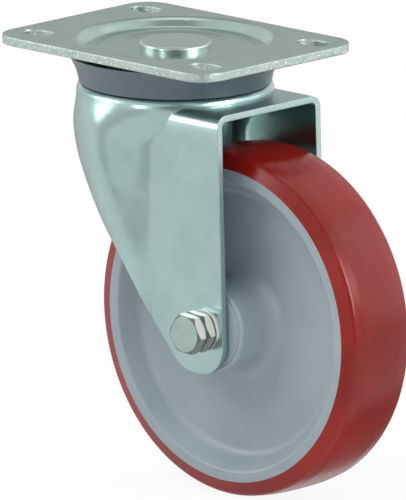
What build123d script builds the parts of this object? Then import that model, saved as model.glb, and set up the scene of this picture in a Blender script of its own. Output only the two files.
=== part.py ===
"""Swivel castor: pressed steel head and fork, a 160 mm wheel, and a slotted top plate.

The model's frame has its origin on the swivel axis at the plate's upper face, in the centre
of the four fixing slots. +Z points up, +X points from the swivel axis towards the wheel, and
the wheel's axle lies along Y. All sizes are in millimetres.
"""
from build123d import *
import math
import os

# ------------------------------------------------------------------ layout
TRAIL = 50.0               # swivel axis forward to the axle
WHEEL_HEADROOM = 19.5      # shelf's face down to the top of the tyre

# ------------------------------------------------------------------ top plate
PLATE_END_MARGIN = 14.5    # hole centres to the plate's ends
PLATE_SIDE_MARGIN = 16.25  # hole centres to the plate's long sides
PLATE_THICKNESS = 4.2
PLATE_CORNER_RADIUS = 13.0
PLATE_EDGE_ROUND = 0.5
HOLE_SPACING_LONG = 105.0
HOLE_SPACING_SHORT = 70.5
SLOT_WIDTH = 11.0
SLOT_LENGTH = 16.5
DISH_LAND = 4.4            # level floor between the race wave and the dish wall
DISH_DEPTH = 4.3
DISH_WALL_RUN = 4.0        # how far inwards the dish wall leans
DISH_SHOULDER_RADIUS = 1.0 # under the plate, where it turns down into the dish
DISH_FLOOR_RADIUS = 2.4

# ------------------------------------------------------------------ kingpin
KINGPIN_RADIUS = 9.0
KINGPIN_HEAD_RADIUS = 16.7
KINGPIN_HEAD_HEIGHT = 3.1
KINGPIN_HEAD_ROUND = 1.5
KINGPIN_TAIL_RADIUS = 14.5
KINGPIN_TAIL_HEIGHT = 4.0
KINGPIN_TAIL_ROUND = 1.8

# ------------------------------------------------------------------ swivel bearing
BALL_RADIUS = 3.5
BALL_CLEARANCE = 0.12      # between a ball and each race
BALL_SPACING = 0.3         # between neighbouring balls
FLANK_SHARE = 0.97         # most of a race wave's flank that its roundings may take
LOWER_RACE_RADIUS = 24.0
RACE_SPACING = 1.8         # level ring between the feet of the two races
RACE_RISE = 1.2            # height of the pressed race wave
RACE_HALF_WIDTH = 3.6
RACE_FOOT_RADIUS = 5.0     # or less, where the wave's flank leaves no room for it
RACE_OPENNESS = 0.3        # the race's radius beyond the ball's
CUP_THICKNESS = 3.0
CUP_LAND = 2.9             # level rim beyond the race wave

# ------------------------------------------------------------------ fork
FORK_SHEET = 3.0
FORK_WIDTH = 67.4          # over the outer faces of the cheeks
FORK_FRONT_LEAN = 4.6      # how much further forward the front edges are at the legs' bottom
FORK_BEND_RADIUS = 2.5     # inside radius of the long bends
BORE_CLEARANCE = 3.5       # kingpin to the fork's bore
DOME_LAND = 4.0            # level top between the outer race wave and the dome's edge
DOME_HEIGHT = 5.422        # dome's top above the boss
DOME_LEAN = 0.6            # how far the dome's wall widens down to the boss
DOME_ROUND = 0.2           # inside radius of the dome's edge
DOME_FOOT_ROUND = 0.3      # outside radius where the dome meets the boss
BOSS_LAND = 3.7            # dome's foot to the boss's wall
BOSS_HEIGHT = 3.6          # boss above the shelf
BOSS_ROUND = 0.2           # inside radius of the boss's edge
BOSS_STEP = 0.08           # the rear shell stands this much proud of the boss's wall
CHEEK_START = 17.0         # swivel axis to where the flat cheeks begin, below the boss
CHEEK_BLEND_HEIGHT = 21.0  # shelf down to where the boss's outline has become the cheeks'
SHELL_BULGE = 1.5          # rear shell's fullest radius beyond the boss's
SHELL_BULGE_HEIGHT = 14.0  # shelf down to that fullest level
SHELL_TAPER_HEIGHT = 16.5  # axle up to where the shell has narrowed to the cheeks
SHELL_TAPER_SHIFT = 9.0    # how far the shell's centre has moved forward there
SHELL_TURN = 100.0         # angle from +X at which the rear arc ends
LEG_FRONT = 12.2           # axle forward to the legs' front edges, at the bottom
LEG_BOTTOM = 20.8          # axle down to the legs' lowest edge
LEG_FRONT_ROUND = 14.0
LEG_REAR_ROUND = 18.5
LEG_TRIM_SLOPE = 49.2      # slope of the rear trim line, in degrees
LEG_TRIM_REACH = 13.8      # axle back to where the trim line meets the bottom edge's level
SHELL_MARGIN = 10.0        # how far the shell's body runs on before it is trimmed
BEND_SPAN_COUNT = 5        # how many lofted spans go down the long bends
BULGE_SPAN_COUNT = 3       # how many go from the bends to the shell's fullest level
TAPER_SPAN_COUNT = 7       # how many go from there to where it has narrowed
LEG_SPAN_COUNT = 2         # how many go on down the legs

# ------------------------------------------------------------------ dust seal
SEAL_THICKNESS = 2.0
SEAL_TOP_GAP = 2.2         # seal rim to the plate's underside
SEAL_FLARE = 5.3           # seal's rim beyond its foot
SEAL_FOOT_INSET = 1.0      # boss's wall in to the seal's foot
SEAL_SLACK = 0.3           # seal foot to the fork's dome
SEAL_WAIST_SHARE = 0.32    # how far the flare has opened at half its height

# ------------------------------------------------------------------ axle hardware
BOLT_RADIUS = 5.0
BOLT_HEAD_HEIGHT = 6.4
HEX_ACROSS_FLATS = 17.0
HEX_CHAMFER_ANGLE = 32.0
HEX_FACE_RATIO = 0.95      # flat round face of a head or nut against its across-flats size
HEX_TURN = -5.0            # first hexagon corner, degrees from +X towards +Z
JAM_NUT_HEIGHT = 5.0
LOCK_NUT_HEX_HEIGHT = 7.2
COLLAR_HEIGHT = 2.8        # lock nut's round collar beyond its hexagon
COLLAR_WALL = 0.9
INSERT_WALL = 1.7
INSERT_HEIGHT = 2.0
INSERT_LIP = 0.5           # steel turned over the insert
BOLT_OVERHANG = 2.0        # shank beyond the lock nut
BOLT_TIP_CHAMFER = 0.8
BOLT_WASHER_FACE = 0.7     # round face under the hexagon head
LOCK_NUT_ROUND = 0.9
WASHER_RADIUS = 9.5
WASHER_THICKNESS = 1.5
WASHER_ROUND = 0.3
AXLE_TUBE_RADIUS = 10.0
STATIC_FIT = 0.05          # radial clearance of parts that don't turn on each other

# ------------------------------------------------------------------ wheel
WHEEL_RADIUS = 80.0
WHEEL_WIDTH = 40.0
WHEEL_FLAT = 8.0           # level middle of the crowned face
TREAD_THICKNESS = 7.7      # tyre's middle down to the core
TREAD_SHOULDER_DROP = 1.1  # tyre's middle down to its shoulders
TREAD_SHOULDER_INSET = 2.4
TREAD_SHOULDER_ROUND = 2.6
TREAD_CROWN_DROP = 0.2
TREAD_CROWN_INSET = 9.0
TREAD_CROWN_ROUND = 24.0
LIP_WIDTH = 4.9
RECESS_DEPTH = 8.8         # lip face down to the web at the rim
RECESS_WALL_RUN = 6.6
RECESS_LIP_ROUND = 1.4
RECESS_FLOOR_ROUND = 6.0
WEB_HALF_THICKNESS = 9.0   # at the hub
HUB_SIDE_GAP = 1.7         # cheek's inner face to the hub's end
HUB_WALL = 3.7             # plastic round the bearing sleeve
HUB_DRAFT = 1.6
HUB_ROOT_ROUND = 7.0
HUB_EDGE_ROUND = 1.2

# ------------------------------------------------------------------ wheel bearing
ROLLER_RADIUS = 2.0
ROLLER_COUNT = 12
ROLLER_CLEARANCE = 0.05
CAGE_THICKNESS = 2.4
CAGE_POCKET_SLACK = 0.2
CAGE_END_RING = 5.0        # cage beyond the rollers' ends
CAGE_END_GAP = 2.0         # cage's end to the sleeve's
SLEEVE_THICKNESS = 1.8
SLEEVE_INSET = 5.0         # hub's end to the sleeve's
COVER_INSET = 2.2          # hub's outside to the cover's pocket
COVER_THICKNESS = 3.0
COVER_PROUD = 0.6          # cover beyond the hub's end
COVER_SLACK = 0.3          # cover to the axle tube
COVER_ROUND = 0.5

# ------------------------------------------------------------------ worked out from the above
RACE_SLOPE = math.atan(RACE_RISE / RACE_HALF_WIDTH)
RACE_RADIUS = BALL_RADIUS + RACE_OPENNESS


def apex_loss(radius):
    """How much a rounding of this radius takes off the tip of a race wave."""
    return radius * (1 / math.cos(RACE_SLOPE) - 1)


def foot_radius(apex_radius):
    """Radius at a race wave's foot that fits on the flank beside the rounding of its apex."""
    flank = RACE_HALF_WIDTH / math.cos(RACE_SLOPE) - apex_radius * math.tan(RACE_SLOPE)
    return min(RACE_FOOT_RADIUS, FLANK_SHARE * flank / math.tan(RACE_SLOPE / 2))


# Radii of the swivel bearing, from the kingpin outwards.
FORK_BORE_RADIUS = KINGPIN_RADIUS + BORE_CLEARANCE
UPPER_RACE_RADIUS = LOWER_RACE_RADIUS + 2 * RACE_HALF_WIDTH + RACE_SPACING
CUP_RADIUS = LOWER_RACE_RADIUS + RACE_HALF_WIDTH + CUP_LAND
DOME_RADIUS = UPPER_RACE_RADIUS + RACE_HALF_WIDTH + DOME_LAND
BOSS_RADIUS = DOME_RADIUS + DOME_LEAN + BOSS_LAND
SEAL_FOOT_RADIUS = BOSS_RADIUS - SEAL_FOOT_INSET
SEAL_TOP_RADIUS = SEAL_FOOT_RADIUS + SEAL_FLARE
SHELL_BULGE_RADIUS = BOSS_RADIUS + SHELL_BULGE
DISH_FLOOR_END = UPPER_RACE_RADIUS + RACE_HALF_WIDTH + DISH_LAND
DISH_RADIUS = DISH_FLOOR_END + DISH_WALL_RUN
DISH_SHOULDER = DISH_SHOULDER_RADIUS + PLATE_THICKNESS

# Levels of the swivel bearing, from the plate down. A ball touches each race at its apex.
DISH_FLOOR = -DISH_DEPTH
PLATE_RACE = DISH_FLOOR + RACE_RISE - apex_loss(RACE_RADIUS + PLATE_THICKNESS) - PLATE_THICKNESS
UPPER_BALL_LEVEL = PLATE_RACE - BALL_RADIUS - BALL_CLEARANCE
DOME_RACE = UPPER_BALL_LEVEL - BALL_RADIUS - BALL_CLEARANCE
DOME_LEVEL = DOME_RACE - apex_loss(RACE_RADIUS) + RACE_RISE
DOME_LOWER_RACE = DOME_LEVEL + RACE_RISE - apex_loss(RACE_RADIUS + FORK_SHEET) - FORK_SHEET
LOWER_BALL_LEVEL = DOME_LOWER_RACE - BALL_RADIUS - BALL_CLEARANCE
CUP_RACE = LOWER_BALL_LEVEL - BALL_RADIUS - BALL_CLEARANCE
CUP_LEVEL = CUP_RACE - apex_loss(RACE_RADIUS) + RACE_RISE
BOSS_LEVEL = DOME_LEVEL - DOME_HEIGHT
SHELF_LEVEL = BOSS_LEVEL - BOSS_HEIGHT

# The fork, from its shelf down to its legs.
AXLE_LEVEL = SHELF_LEVEL - WHEEL_HEADROOM - WHEEL_RADIUS
CHEEK_OUTER = FORK_WIDTH / 2
CHEEK_INNER = CHEEK_OUTER - FORK_SHEET
FORK_BEND = FORK_BEND_RADIUS + FORK_SHEET
FORK_REACH = TRAIL + LEG_FRONT - FORK_FRONT_LEAN
BEND_FOOT_LEVEL = SHELF_LEVEL - FORK_BEND
BULGE_LEVEL = SHELF_LEVEL - SHELL_BULGE_HEIGHT
CHEEK_BLEND_LEVEL = SHELF_LEVEL - CHEEK_BLEND_HEIGHT
TAPER_LEVEL = AXLE_LEVEL + SHELL_TAPER_HEIGHT
LEG_LOWEST = AXLE_LEVEL - LEG_BOTTOM

# The wheel bearing, from the axle tube outwards, and its lengths from the cheeks inwards.
ROLLER_PITCH = AXLE_TUBE_RADIUS + ROLLER_CLEARANCE + ROLLER_RADIUS
SLEEVE_BORE = ROLLER_PITCH + ROLLER_RADIUS + ROLLER_CLEARANCE
SLEEVE_RADIUS = SLEEVE_BORE + SLEEVE_THICKNESS
HUB_RADIUS = SLEEVE_RADIUS + HUB_WALL
COVER_RADIUS = HUB_RADIUS - COVER_INSET
HUB_END = CHEEK_INNER - HUB_SIDE_GAP
SLEEVE_LENGTH = 2 * (HUB_END - SLEEVE_INSET)
CAGE_LENGTH = SLEEVE_LENGTH - 2 * CAGE_END_GAP
ROLLER_LENGTH = CAGE_LENGTH - 2 * CAGE_END_RING
TREAD_BOND_RADIUS = WHEEL_RADIUS - TREAD_THICKNESS

# The lock nut, from the bolt outwards.
INSERT_RADIUS = BOLT_RADIUS + INSERT_WALL
COLLAR_RADIUS = INSERT_RADIUS + COLLAR_WALL
LOCK_NUT_HEIGHT = LOCK_NUT_HEX_HEIGHT + COLLAR_HEIGHT

# A place on the axle: local Z runs towards -Y and local Y runs up.
AXLE = Location((TRAIL, 0, AXLE_LEVEL), (90, 0, 0))


# ------------------------------------------------------------------ profiles
def offset_points(points, distance):
    """Moves an open line of (r, z) points to its right, with mitred corners."""
    moved = []
    for index, (r, z) in enumerate(points):
        neighbours = points[max(index - 1, 0):index + 2]
        normals = []
        for start, end in zip(neighbours, neighbours[1:]):
            length = math.dist(start, end)
            normals.append(((end[1] - start[1]) / length, (start[0] - end[0]) / length))
        nr = sum(normal[0] for normal in normals) / len(normals)
        nz = sum(normal[1] for normal in normals) / len(normals)
        size = nr * nr + nz * nz
        moved.append((r + distance * nr / size, z + distance * nz / size))
    return moved


def offset_radii(points, radii, distance):
    """Corner radii of the line moved to the right: smaller on right turns, larger on left ones."""
    moved = []
    for (r0, z0), (r1, z1), (r2, z2), radius in zip(points, points[1:], points[2:], radii):
        turn = (r1 - r0) * (z2 - z1) - (z1 - z0) * (r2 - r1)
        moved.append(radius + math.copysign(distance, turn))
    return moved


def rounded_line(points, radii):
    """An open line through (r, z) points in the XZ plane, with a radius at each inner corner."""
    return FilletPolyline(*[(r, 0, z) for r, z in points], radius=radii)


def pressed_ring(points, radii, thickness):
    """A pressed round sheet. The points follow its upper face from the inside outwards."""
    upper = rounded_line(points, radii)
    lower = rounded_line(offset_points(points, thickness), offset_radii(points, radii, thickness))
    ends = [Line(upper @ 0, lower @ 0), Line(upper @ 1, lower @ 1)]
    return revolve(make_face(upper.edges() + lower.edges() + ends), Axis.Z)


def race_wave(radius, level, rise):
    """The three (r, z) corners of a race wave, from the inside outwards."""
    return [(radius - RACE_HALF_WIDTH, level), (radius, level + rise), (radius + RACE_HALF_WIDTH, level)]


def race_radii(apex_radius):
    """Radii of a race wave's three corners, its apex in the middle."""
    return [foot_radius(apex_radius), apex_radius, foot_radius(apex_radius)]


def turned(points, radii=None):
    """A solid turned about Z from a closed outline of (r, z) points, its inner corners rounded."""
    if radii:
        line = rounded_line(points, radii)
    else:
        line = Polyline(*[(r, 0, z) for r, z in points])
    return revolve(make_face(line.edges() + [Line(line @ 1, line @ 0)]), Axis.Z)


def disc(radius, bottom, top):
    """A plain cylinder about Z between two heights."""
    return Pos(0, 0, (bottom + top) / 2) * Cylinder(radius, top - bottom)


def ring(outer, inner, bottom, top):
    """A plain tube about Z between two heights."""
    return disc(outer, bottom, top) - disc(inner, bottom, top)


def spaced_ring(piece, count):
    """Copies of a piece turned about Z at equal angles."""
    return Compound([Rot(0, 0, 360 * index / count) * piece for index in range(count)])


def ball_ring(radius, level):
    """A full ring of loose balls about the swivel axis."""
    step = 2 * math.asin((BALL_RADIUS + BALL_SPACING / 2) / radius)
    return spaced_ring(Pos(radius, 0, level) * Sphere(BALL_RADIUS), int(2 * math.pi / step))


# ------------------------------------------------------------------ swivel head
def make_top_plate():
    """Flat plate with four slots and a pressed dish whose floor carries the upper race."""
    length = HOLE_SPACING_LONG + 2 * PLATE_END_MARGIN
    width = HOLE_SPACING_SHORT + 2 * PLATE_SIDE_MARGIN
    outline = RectangleRounded(length, width, PLATE_CORNER_RADIUS)
    slot_centres = GridLocations(HOLE_SPACING_LONG, HOLE_SPACING_SHORT, 2, 2)
    slots = slot_centres * SlotOverall(SLOT_LENGTH, SLOT_WIDTH)
    rim = DISH_RADIUS + DISH_SHOULDER
    flat = extrude(outline - slots, -PLATE_THICKNESS)
    flat = fillet(flat.faces().filter_by(Axis.Z).edges(), PLATE_EDGE_ROUND)
    flat -= disc(rim, -PLATE_THICKNESS, 0)
    line = [(KINGPIN_RADIUS + STATIC_FIT, DISH_FLOOR)]
    line += race_wave(UPPER_RACE_RADIUS, DISH_FLOOR, RACE_RISE)
    line += [(DISH_FLOOR_END, DISH_FLOOR), (DISH_RADIUS, 0), (rim, 0)]
    radii = race_radii(RACE_RADIUS + PLATE_THICKNESS) + [DISH_FLOOR_RADIUS, DISH_SHOULDER]
    return flat + pressed_ring(line, radii, PLATE_THICKNESS)


def make_kingpin():
    """Round-headed pin, riveted over below the lower race cup."""
    tail_top = CUP_LEVEL - CUP_THICKNESS
    head = disc(KINGPIN_HEAD_RADIUS, DISH_FLOOR, DISH_FLOOR + KINGPIN_HEAD_HEIGHT)
    head = fillet(head.edges().group_by(Axis.Z)[-1], KINGPIN_HEAD_ROUND)
    tail = disc(KINGPIN_TAIL_RADIUS, tail_top - KINGPIN_TAIL_HEIGHT, tail_top)
    tail = fillet(tail.edges().group_by(Axis.Z)[0], KINGPIN_TAIL_ROUND)
    return head + disc(KINGPIN_RADIUS, tail_top, DISH_FLOOR) + tail


def make_lower_race_cup():
    """Pressed ring that the kingpin holds below the fork, with the lower balls in its valley."""
    line = [(KINGPIN_RADIUS + STATIC_FIT, CUP_LEVEL)]
    line += race_wave(LOWER_RACE_RADIUS, CUP_LEVEL, -RACE_RISE)
    line += [(CUP_RADIUS, CUP_LEVEL)]
    return pressed_ring(line, race_radii(RACE_RADIUS), CUP_THICKNESS)


def make_dust_seal():
    """Flared plastic skirt that stands on the fork's boss and reaches up to the plate."""
    rim_level = -PLATE_THICKNESS - SEAL_TOP_GAP
    inner = DOME_RADIUS + DOME_LEAN + SEAL_SLACK
    waist = SEAL_FOOT_RADIUS + SEAL_WAIST_SHARE * (SEAL_TOP_RADIUS - SEAL_FOOT_RADIUS)
    curve = [(SEAL_FOOT_RADIUS, BOSS_LEVEL), (waist, (BOSS_LEVEL + rim_level) / 2)]
    curve.append((SEAL_TOP_RADIUS, rim_level))
    flare = ThreePointArc(*[(r, 0, z) for r, z in curve])
    curve[0] = (SEAL_FOOT_RADIUS, BOSS_LEVEL + SEAL_THICKNESS)
    back = ThreePointArc(*[(r - SEAL_THICKNESS, 0, z) for r, z in curve])
    base = Polyline(back @ 0, (inner, 0, BOSS_LEVEL + SEAL_THICKNESS), (inner, 0, BOSS_LEVEL), flare @ 0)
    return revolve(make_face([flare, Line(flare @ 1, back @ 1), back] + base.edges()), Axis.Z)


# ------------------------------------------------------------------ fork
def smooth(share):
    """Eases a share between 0 and 1 in and out."""
    share = min(max(share, 0.0), 1.0)
    return share * share * (3 - 2 * share)


def bend_loss(level, inset):
    """How far the long bend between shelf and cheek draws the cheek in at this level."""
    bend = FORK_BEND - inset
    above_centre = min(max(level - BEND_FOOT_LEVEL, 0), bend)
    return bend - math.sqrt(bend ** 2 - above_centre ** 2)


def shell_section(level, inset, front):
    """Level section of the fork: a rear arc blended into two flat cheeks, open to the front.

    The inset moves the whole section inwards by a sheet's thickness.
    """
    rise = smooth((SHELF_LEVEL - level) / SHELL_BULGE_HEIGHT)
    spread = smooth((SHELF_LEVEL - level) / CHEEK_BLEND_HEIGHT)
    fall = min(max((BULGE_LEVEL - level) / (BULGE_LEVEL - TAPER_LEVEL), 0), 1)
    cheek = CHEEK_OUTER - inset - bend_loss(level, inset)
    boss = BOSS_RADIUS + BOSS_STEP - inset
    radius = boss + rise * (SHELL_BULGE_RADIUS - inset - boss)
    radius += smooth(fall) * (CHEEK_OUTER - inset - radius)
    centre = fall * fall * SHELL_TAPER_SHIFT
    boss_meeting = math.sqrt(boss ** 2 - cheek ** 2)
    start = Vector(boss_meeting + spread * (CHEEK_START - boss_meeting), cheek)
    slope = (1 - spread) * math.acos(cheek / boss)
    turn = math.radians(SHELL_TURN)
    end = Vector(centre + radius * math.cos(turn), radius * math.sin(turn))
    handle = (start - end).length / (3 * math.cos((slope + turn - math.pi / 2) / 4) ** 2)
    half = [start, start + Vector(-math.cos(slope), math.sin(slope)) * handle,
            end + Vector(math.sin(turn), -math.cos(turn)) * handle, end]
    blend = Bezier
    if rise == 0:
        half = [start, (start + end).normalized() * radius, end]
        blend = ThreePointArc
    mirrored = [Vector(point.X, -point.Y) for point in reversed(half)]
    corners = [Vector(front, cheek), Vector(front, -cheek)]
    edges = [Line(corners[0], start), blend(*half), ThreePointArc(end, (centre - radius, 0), mirrored[0]),
             blend(*mirrored), Line(mirrored[-1], corners[1]), Line(corners[1], corners[0])]
    return Pos(0, 0, level) * make_face(edges)


def spans(start, end, count):
    """Levels that divide a stretch into equal spans, without its start."""
    return [start + (end - start) * step / count for step in range(1, count + 1)]


def shell_body(inset):
    """The fork's outer or inner body below the shelf, lofted through its level sections."""
    front = FORK_REACH + FORK_FRONT_LEAN + SHELL_MARGIN + inset
    bend = FORK_BEND - inset
    turns = [math.pi / 2 * step / BEND_SPAN_COUNT for step in range(BEND_SPAN_COUNT + 1)]
    bend_levels = [BEND_FOOT_LEVEL + bend * math.cos(turn) for turn in turns]
    levels = [BEND_FOOT_LEVEL] + spans(BEND_FOOT_LEVEL, BULGE_LEVEL, BULGE_SPAN_COUNT)
    levels += spans(BULGE_LEVEL, TAPER_LEVEL, TAPER_SPAN_COUNT)
    levels += spans(TAPER_LEVEL, LEG_LOWEST - SHELL_MARGIN - inset, LEG_SPAN_COUNT)
    top = loft([shell_section(level, inset, front) for level in bend_levels])
    return top + loft([shell_section(level, inset, front) for level in levels])


def head_body(inset):
    """The dome and boss above the shelf, as a solid down to the shelf's own face."""
    points = [(FORK_BORE_RADIUS, DOME_LEVEL)]
    points += race_wave(LOWER_RACE_RADIUS, DOME_LEVEL, RACE_RISE)
    points += race_wave(UPPER_RACE_RADIUS, DOME_LEVEL, -RACE_RISE)
    points += [(DOME_RADIUS, DOME_LEVEL), (DOME_RADIUS + DOME_LEAN, BOSS_LEVEL)]
    points += [(BOSS_RADIUS, BOSS_LEVEL), (BOSS_RADIUS, SHELF_LEVEL)]
    radii = race_radii(RACE_RADIUS + FORK_SHEET) + race_radii(RACE_RADIUS)
    radii += [DOME_ROUND + FORK_SHEET, DOME_FOOT_ROUND, BOSS_ROUND + FORK_SHEET]
    if inset:
        radii = offset_radii(points, radii, inset)
        points = offset_points(points, inset)
    points[-1] = (points[-1][0], SHELF_LEVEL - inset)
    line = rounded_line(points, radii)
    closing = Polyline(line @ 1, (0, 0, points[-1][1]), (0, 0, points[0][1]), line @ 0)
    return revolve(make_face(line.edges() + closing.edges()), Axis.Z)


def side_outline():
    """The fork's outline seen from the side: straight front edges and a slanting rear trim."""
    slope = math.tan(math.radians(LEG_TRIM_SLOPE))
    knee = (TRAIL - LEG_TRIM_REACH, LEG_LOWEST)
    back = -2 * SHELL_BULGE_RADIUS
    trim_end = (back, LEG_LOWEST + (knee[0] - back) * slope)
    points = [(FORK_REACH, 0), (FORK_REACH + FORK_FRONT_LEAN, LEG_LOWEST), knee, trim_end]
    line = rounded_line(points, [LEG_FRONT_ROUND, LEG_REAR_ROUND])
    return extrude(make_face(line.edges() + [Line(line @ 1, line @ 0)]), 2 * BOSS_RADIUS, both=True)


def make_fork():
    """One-piece pressed fork: race dome, round boss, flat shelf, two cheeks and a rear shell."""
    outer = shell_body(0) + head_body(0)
    inner = shell_body(FORK_SHEET) + head_body(FORK_SHEET)
    fork = (outer & side_outline()) - inner
    fork -= disc(FORK_BORE_RADIUS, SHELF_LEVEL, 0)
    fork -= AXLE * Cylinder(BOLT_RADIUS + STATIC_FIT, 2 * FORK_WIDTH)
    return fork


# ------------------------------------------------------------------ axle hardware
# Distances along the axle are measured outwards from the middle of the fork.
NEAR_WASHER_FACE = CHEEK_OUTER + WASHER_THICKNESS
HEAD_FACE = NEAR_WASHER_FACE + JAM_NUT_HEIGHT
NUT_FACE = CHEEK_OUTER + WASHER_THICKNESS


def hexagon(height, chamfered_ends):
    """A hexagon prism on its base, its corners turned off at the named ends."""
    corner = HEX_ACROSS_FLATS / math.sqrt(3)
    face = HEX_FACE_RATIO * HEX_ACROSS_FLATS / 2
    drop = (corner - face) * math.tan(math.radians(HEX_CHAMFER_ANGLE))
    prism = extrude(RegularPolygon(corner, 6, rotation=HEX_TURN), height)
    outline = [(0, 0), (corner, 0), (corner, height), (0, height)]
    if "base" in chamfered_ends:
        outline[1:2] = [(face, 0), (corner, drop)]
    if "top" in chamfered_ends:
        outline[-2:-1] = [(corner, height - drop), (face, height)]
    return prism & turned(outline)


def make_axle_bolt():
    """Hexagon bolt from the near side through both cheeks, with a bare head."""
    shank = HEAD_FACE + NUT_FACE + LOCK_NUT_HEIGHT + BOLT_OVERHANG
    rod = Pos(0, 0, -shank / 2) * Cylinder(BOLT_RADIUS, shank)
    rod = chamfer(rod.edges().group_by(Axis.Z)[0], BOLT_TIP_CHAMFER)
    washer_face = disc(HEX_FACE_RATIO * HEX_ACROSS_FLATS / 2, 0, BOLT_WASHER_FACE)
    head = Pos(0, 0, BOLT_WASHER_FACE) * hexagon(BOLT_HEAD_HEIGHT - BOLT_WASHER_FACE, ["top"])
    return AXLE * Pos(0, 0, HEAD_FACE) * (rod + washer_face + head)


def make_jam_nut():
    """Thin hexagon nut between the bolt's head and the near washer."""
    nut = hexagon(JAM_NUT_HEIGHT, ["base", "top"]) - disc(BOLT_RADIUS + STATIC_FIT, 0, JAM_NUT_HEIGHT)
    return AXLE * Pos(0, 0, NEAR_WASHER_FACE) * nut


def make_washer(side):
    """Flat washer on the outside of a cheek: side is 1 for the head end and -1 for the nut end."""
    washer = ring(WASHER_RADIUS, BOLT_RADIUS + STATIC_FIT, 0, WASHER_THICKNESS)
    washer = fillet(washer.edges().group_by(Axis.Z)[-1].sort_by(SortBy.RADIUS)[-1], WASHER_ROUND)
    if side < 0:
        washer = Rot(180, 0, 0) * washer
    return AXLE * Pos(0, 0, side * CHEEK_OUTER) * washer


def make_lock_nut():
    """Lock nut on the far end, its collar turned over the plastic insert."""
    nut = hexagon(LOCK_NUT_HEX_HEIGHT, ["base", "top"]) + disc(COLLAR_RADIUS, 0, LOCK_NUT_HEIGHT)
    nut = fillet(nut.edges().group_by(Axis.Z)[-1], LOCK_NUT_ROUND)
    nut -= disc(BOLT_RADIUS + STATIC_FIT, 0, LOCK_NUT_HEIGHT)
    insert_top = LOCK_NUT_HEIGHT - INSERT_LIP
    nut -= disc(INSERT_RADIUS + STATIC_FIT, insert_top - INSERT_HEIGHT, insert_top)
    return AXLE * Pos(0, 0, -NUT_FACE) * Rot(180, 0, 0) * nut


def make_lock_nut_insert():
    """Plastic ring that grips the bolt inside the lock nut's collar."""
    insert_top = LOCK_NUT_HEIGHT - INSERT_LIP
    insert = ring(INSERT_RADIUS, BOLT_RADIUS + STATIC_FIT, insert_top - INSERT_HEIGHT, insert_top)
    return AXLE * Pos(0, 0, -NUT_FACE) * Rot(180, 0, 0) * insert


def make_axle_tube():
    """Steel tube clamped between the cheeks, on which the rollers run."""
    return AXLE * ring(AXLE_TUBE_RADIUS, BOLT_RADIUS + STATIC_FIT, -CHEEK_INNER, CHEEK_INNER)


# ------------------------------------------------------------------ wheel
def mirrored_outline(points):
    """Closes an outline given for the near half of the wheel with the same points beyond Z = 0."""
    return points + [(r, -z) for r, z in points[::-1]]


def make_tyre():
    """Solid tread bonded round the core, with leaning sides and a slightly crowned face."""
    side = WHEEL_WIDTH / 2
    shoulder = (WHEEL_RADIUS - TREAD_SHOULDER_DROP, side - TREAD_SHOULDER_INSET)
    crown = (WHEEL_RADIUS - TREAD_CROWN_DROP, side - TREAD_CROWN_INSET)
    middle = (WHEEL_RADIUS, WHEEL_FLAT / 2)
    outline = mirrored_outline([(TREAD_BOND_RADIUS, side), shoulder, crown, middle])
    rounds = [TREAD_SHOULDER_ROUND, TREAD_CROWN_ROUND, WHEEL_FLAT]
    return AXLE * turned(outline, rounds + rounds[::-1])


def make_wheel_core():
    """Moulded core: rim lip, leaning recess wall, web and hub, the same from both sides."""
    side = WHEEL_WIDTH / 2
    lip = TREAD_BOND_RADIUS - LIP_WIDTH
    half = [(TREAD_BOND_RADIUS, side), (lip, side), (lip - RECESS_WALL_RUN, side - RECESS_DEPTH)]
    half += [(HUB_RADIUS + HUB_DRAFT, WEB_HALF_THICKNESS), (HUB_RADIUS, HUB_END), (SLEEVE_RADIUS, HUB_END)]
    rounds = [RECESS_LIP_ROUND, RECESS_FLOOR_ROUND, HUB_ROOT_ROUND, HUB_EDGE_ROUND]
    line = rounded_line(half, rounds)
    closing = Polyline(line @ 1, (SLEEVE_RADIUS, 0, 0), (TREAD_BOND_RADIUS, 0, 0), line @ 0)
    core = revolve(make_face(line.edges() + closing.edges()), Axis.Z)
    core -= disc(COVER_RADIUS + STATIC_FIT, HUB_END + COVER_PROUD - COVER_THICKNESS, HUB_END)
    return AXLE * (core + mirror(core, Plane.XY))


def make_bearing_sleeve():
    """Steel liner pressed into the hub, in which the rollers run."""
    return AXLE * ring(SLEEVE_RADIUS, SLEEVE_BORE, -SLEEVE_LENGTH / 2, SLEEVE_LENGTH / 2)


def make_hub_cover(side):
    """Plastic cover in the hub's end: side is 1 for the near end and -1 for the far end."""
    top = HUB_END + COVER_PROUD
    cover = ring(COVER_RADIUS, AXLE_TUBE_RADIUS + COVER_SLACK, top - COVER_THICKNESS, top)
    cover = fillet(cover.edges().group_by(Axis.Z)[-1], COVER_ROUND)
    if side < 0:
        cover = Rot(180, 0, 0) * cover
    return AXLE * cover


# ------------------------------------------------------------------ wheel bearing
def make_rollers():
    """Steel rollers spaced round the axle tube."""
    roller = Pos(ROLLER_PITCH, 0, 0) * Cylinder(ROLLER_RADIUS, ROLLER_LENGTH)
    return AXLE * spaced_ring(roller, ROLLER_COUNT)


def make_roller_cage():
    """Plastic cage with a pocket for each roller."""
    half_wall = CAGE_THICKNESS / 2
    end = CAGE_LENGTH / 2
    cage = ring(ROLLER_PITCH + half_wall, ROLLER_PITCH - half_wall, -end, end)
    width = 2 * (ROLLER_RADIUS + CAGE_POCKET_SLACK)
    pocket = Box(2 * CAGE_THICKNESS, width, ROLLER_LENGTH + 2 * CAGE_POCKET_SLACK)
    return AXLE * (cage - spaced_ring(Pos(ROLLER_PITCH, 0, 0) * pocket, ROLLER_COUNT))


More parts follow.
